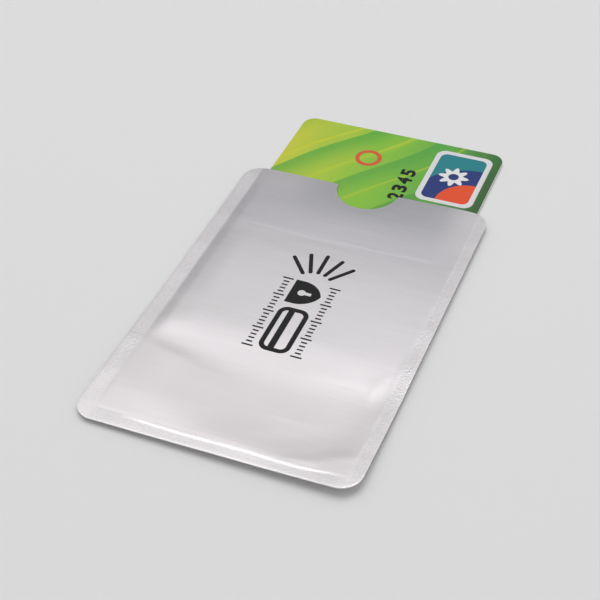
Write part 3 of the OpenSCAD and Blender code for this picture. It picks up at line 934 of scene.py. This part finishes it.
def paintBadgeField():
    b = badge
    p = Paint("badgeField", Coat_Weight=0.12, Coat_Roughness=0.12, Specular_IOR_Level=0.3)
    low, high = boxOf("badge_field")
    # distance from the field's lower left corner, as the card is read along its length
    fromX, fromY = p.x - high[0], p.y - low[1]
    off = (fromX * fromX + fromY * fromY) ** 0.5
    base = b["teal"]
    for radius, colour in ((b["navyR"], b["navy"]), (b["orangeR"], b["orange"])):
        base = p.mix(p.between(off, radius, radius - b["crispness"]), base, colour)
    dx = p.x - ((low[0] + high[0]) / 2 + b["rosetteOff"][0])
    dy = p.y - ((low[1] + high[1]) / 2 + b["rosetteOff"][1])
    away = (dx * dx + dy * dy) ** 0.5
    # the rosette's rim is a circle plus a cosine of the angle
    petals = (dx.math("ARCTAN2", dy, dx) * b["petals"]).cosine()
    rim = away - petals * b["petalDepth"]
    star = p.between(rim, b["rosetteR"], b["rosetteR"] - b["crispness"])
    hole = p.between(away, b["holeR"], b["holeR"] + b["crispness"])
    base = p.mix(star * hole, base, b["white"])
    grain = p.noise(p.place, scale=b["grainScale"], detail=1.0)
    p.sendGrained(base, b["roughness"], grain, *b["grain"])
    return p


# Contact plate: a middle strip and eight pads, parted by fine dark lines
contacts = {
    "stripShare": 0.17,  # half width of the middle strip, as a share of the plate
    "padShares": (0.0, 0.25),  # lines between pads, as shares of the plate from its middle
    "lineWidth": 0.14,
    "lineSoft": 0.03,
    "lineDepth": 0.02,
    "brushing": (0.6, 18.0, 1.0),
    "goldLow": (0.74, 0.50, 0.17),
    "goldHigh": (0.84, 0.62, 0.26),
    "line": (0.16, 0.11, 0.05),
    "roughness": 0.30,
    "cloudScale": 0.5,
    "brushHeight": 0.002,
}


def paintContacts():
    c = contacts
    p = Paint("contactGold")
    low, high = boxOf("chip_plate")
    dx = abs(p.x - (low[0] + high[0]) / 2)
    dy = abs(p.y - (low[1] + high[1]) / 2)
    strip = (high[1] - low[1]) * c["stripShare"]
    half = c["lineWidth"] / 2
    outer = half + c["lineSoft"]
    beside = p.between(dy, strip - half, strip)
    lines = p.between(abs(dy - strip), outer, half)
    for share in c["padShares"]:
        lines = lines + beside * p.between(abs(dx - (high[0] - low[0]) * share), outer, half)
    lines = p.between(lines, 0.0, 1.0)
    brushed = p.drawnOut(c["brushing"], detail=3.0)
    cloud = p.noise(p.place, scale=c["cloudScale"])
    base = p.mix(lines, p.mix(cloud, c["goldLow"], c["goldHigh"]), c["line"])
    p.send(
        Base_Color=base,
        Metallic=1.0 - lines * 0.8,
        Roughness=c["roughness"] + (brushed - 0.5) * 0.16 + lines * 0.2,
        Normal=p.bump(1.0 - lines, c["lineDepth"], over=p.bump(brushed, c["brushHeight"])),
    )
    return p


signature = {
    "ivory": (0.84, 0.83, 0.77),
    "line": (0.45, 0.62, 0.50),
    "lineWeight": 0.35,
    "lineRate": 4.2,
    "lineFrom": 0.86,  # the lines are where a sine is above this
    "roughness": 0.7,
    "grainScale": 7.0,
    "grainHeight": 0.004,
}


def paintSignature():
    # ivory panel with faint slanted lines
    s = signature
    p = Paint("signaturePanel", Roughness=s["roughness"])
    lines = p.between(((p.x + p.y) * s["lineRate"]).sine(), s["lineFrom"], 1.0)
    lines = lines + p.between(((p.x - p.y) * s["lineRate"]).sine(), s["lineFrom"], 1.0)
    grain = p.noise(p.place, scale=s["grainScale"], detail=3.0)
    base = p.mix(lines * s["lineWeight"], s["ivory"], s["line"])
    p.send(Base_Color=base, Normal=p.bump(grain, s["grainHeight"]))
    return p


tape = {
    "dark": (0.020, 0.014, 0.011),
    "light": (0.045, 0.034, 0.028),
    "streaks": (9.0, 0.08, 1.0),
    "roughness": 0.30,
    "grain": (0.14, 0.001),  # change of gloss and height
}


def paintMagneticTape():
    # dark tape with faint streaks along its length
    p = Paint("magneticTape", Coat_Weight=0.2)
    drawn = p.drawnOut(tape["streaks"])
    base = p.mix(drawn, tape["dark"], tape["light"])
    p.sendGrained(base, tape["roughness"], drawn, *tape["grain"])
    return p


cardBack = {
    "yellow": (0.62, 0.72, 0.30),
    "green": (0.34, 0.62, 0.36),
    "change": (-24.0, 30.0),  # from the one to the other along x
    "bend": 7.0,
    "bendRate": 0.09,
    "cloudScale": 0.04,
    "cloudShift": 12.0,
    "roughness": 0.32,
    "dotScale": 14.0,
    "dots": (0.12, 0.0012),  # change of gloss and height
}


def paintCardBack():
    # pale green that changes across the card, along a line bent by a sine
    c = cardBack
    p = Paint("printedCardBack", Coat_Weight=0.3, Coat_Roughness=0.15)
    cloud = p.noise(p.place, scale=c["cloudScale"], detail=1.0)
    across = p.x + (p.y * c["bendRate"]).sine() * c["bend"] + (cloud - 0.5) * c["cloudShift"]
    base = p.mix(p.between(across, *c["change"]), c["yellow"], c["green"])
    dots = p.noise(p.place, scale=c["dotScale"], detail=1.0)
    p.sendGrained(base, c["roughness"], dots, *c["dots"])
    return p


# Finishes of one colour, by slot: name, colour, roughness and the rest
plainFinishes = {
    "foil": ("bareFoil", (0.80, 0.80, 0.82), 0.25, {"Metallic": 1.0}),
    "seal_film": ("sealFilm", (0.74, 0.74, 0.755), 0.4, {"Metallic": 0.35}),
    "black_ink": ("blackInk", (0.010, 0.010, 0.011), 0.5,
                  {"spread": 0.2, "depth": 0.002, "Specular_IOR_Level": 0.2}),
    "card_core": ("cardCore", (0.84, 0.84, 0.81), 0.5, {"spread": 0.03}),
    "antenna_copper": ("antennaCopper", (0.72, 0.36, 0.19), 0.3, {"Metallic": 1.0}),
    "adhesive": ("hotMelt", (0.74, 0.66, 0.42), 0.45, {}),
    "potting": ("dieResin", (0.03, 0.04, 0.04), 0.3, {}),
    "white_ink": ("whiteInk", (0.80, 0.79, 0.81), 0.36,
                  {"spread": 0.03, "depth": 0.0012, "Coat_Weight": 0.12}),
    "orange_ink": ("orangeInk", (0.72, 0.10, 0.02), 0.36,
                   {"spread": 0.08, "depth": 0.0012, "Coat_Weight": 0.12}),
}


def makePaints():
    # one material for each slot
    paints = {
        "silver_film": paintFilm(),
        "card_art": paintCardFace(),
        "card_back": paintCardBack(),
        "magnetic_tape": paintMagneticTape(),
        "signature_paper": paintSignature(),
        "contact_gold": paintContacts(),
        "teal_ink": paintBadgeField(),
    }
    for slotName, (name, colour, roughness, more) in plainFinishes.items():
        paints[slotName] = paintPlain(name, colour, roughness, **more)
    print(f"materials: {len(paints)}")
    return paints


# Round pale floor with a low wall, in metres, and the light
studio = {
    "floor": (0.86, 0.86, 0.86),
    "wall": (0.66, 0.66, 0.66),
    "fade": (4.0, 300.0),  # from floor to wall, in millimetres above the floor
    "radius": 1.5,
    "cove": 0.35,
    "wallTop": 1.0,
    "sunk": 0.00003,
    "coveRows": 16,
    "sectors": 96,
    "worldStrength": 0.56,
    "lampPower": 8.0,
    "lampSize": 1.2,
    "lampPlace": (-0.11, 0.37, 1.41),
}


def addLamp(name, place, size, power):
    # square softbox that faces the origin
    lamp = bpy.data.lights.new(name, "AREA")
    lamp.shape = "SQUARE"
    lamp.size = size
    lamp.energy = power
    obj = bpy.data.objects.new(name, lamp)
    bpy.context.scene.collection.objects.link(obj)
    obj.location = place
    obj.rotation_euler = Vector(place).to_track_quat("Z", "Y").to_euler()


def buildStudio(s):
    # a round floor that turns up into a low wall by a quarter circle, spun about the upright axis
    t = np.linspace(0.0, math.pi / 2, s["coveRows"])
    out = np.append(s["radius"] - s["cove"] + s["cove"] * np.sin(t), s["radius"])[:, None]
    up = np.append(s["cove"] - s["cove"] * np.cos(t), s["wallTop"])[:, None] - s["sunk"]
    turns = np.linspace(0.0, 2 * math.pi, s["sectors"] + 1)[:-1]
    shape = (len(out), len(turns))
    ring = np.stack([out * np.cos(turns), out * np.sin(turns), np.broadcast_to(up, shape)], -1)
    ring = ring.reshape(-1, 3)
    index = np.arange(len(ring)).reshape(shape)
    nxt = np.roll(index, -1, axis=1)
    quads = np.stack([index[:-1], index[1:], nxt[1:], nxt[:-1]], -1).reshape(-1, 4)
    mesh = bpy.data.meshes.new("floorAndWall")
    mesh.from_pydata(ring.tolist(), [], quads.tolist() + [index[0].tolist()])
    mesh.update()
    mesh.polygons.foreach_set("use_smooth", [True] * len(mesh.polygons))
    floor = bpy.data.objects.new("floorAndWall", mesh)
    bpy.context.scene.collection.objects.link(floor)
    p = Paint("paperBackdrop", Roughness=0.9, Specular_IOR_Level=0.2)
    p.send(Base_Color=p.mix(p.between(p.z, *s["fade"]), s["floor"], s["wall"]))
    floor.data.materials.append(p.material)
    world = bpy.data.worlds.new("studioLight")
    world.use_nodes = True
    back = next(n for n in world.node_tree.nodes if n.type == "BACKGROUND")
    back.inputs["Color"].default_value = (1.0, 1.0, 1.0, 1.0)
    back.inputs["Strength"].default_value = s["worldStrength"]
    bpy.context.scene.world = world
    addLamp("softbox", s["lampPlace"], s["lampSize"], s["lampPower"])
    bpy.context.scene.view_settings.view_transform = "Standard"
    print("studio ready")


placeCamera(view)
buildStudio(studio)
paints = makePaints()
slotOf = {part["node"]: part["material_slot"] for part in frame["record"]["subparts"]}
for node, obj in nodes.items():
    obj.data.materials.clear()
    obj.data.materials.append(paints[slotOf[node]].material)
buildFilms(paints)
buildSleevePrint(paints["black_ink"])
buildNumerals(paints["black_ink"])
